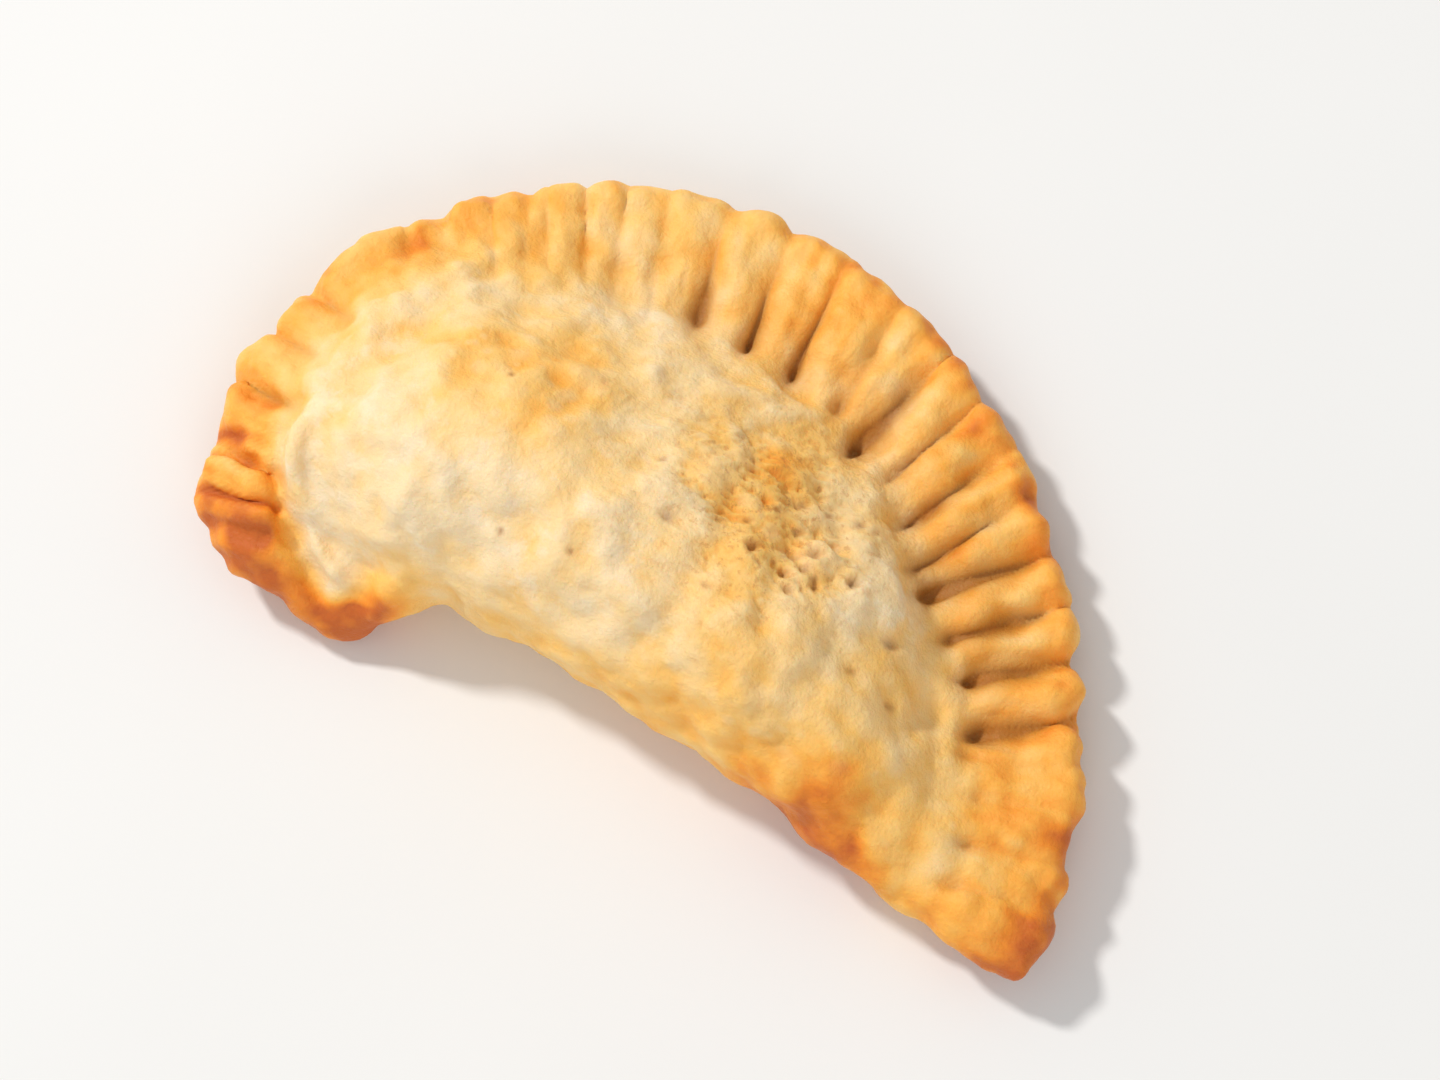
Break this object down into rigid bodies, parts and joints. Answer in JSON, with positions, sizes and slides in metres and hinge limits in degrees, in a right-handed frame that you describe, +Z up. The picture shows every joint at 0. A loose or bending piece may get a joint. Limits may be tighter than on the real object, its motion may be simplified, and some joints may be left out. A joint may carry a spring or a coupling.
{
  "type": "cheese sambousek",
  "caption": "Half-moon savoury pastry with a domed filling, a rounded fold along one side and a fork-pressed border along the round edge.",
  "frame": {"origin": "on the ground under the middle of the pasty's box", "axes": "+X along the fold from the left corner to the right one, +Y from the fold to the round edge, +Z up"},
  "size_m": [0.0892, 0.0542, 0.0213],
  "materials": {
    "pastry": "baked pastry: pale cream-gold dome, golden-orange border and corners, satin with small blisters"
  },
  "bodies": {
    "root": {"sambousek": "pastry"}
  },
  "joints": []
}
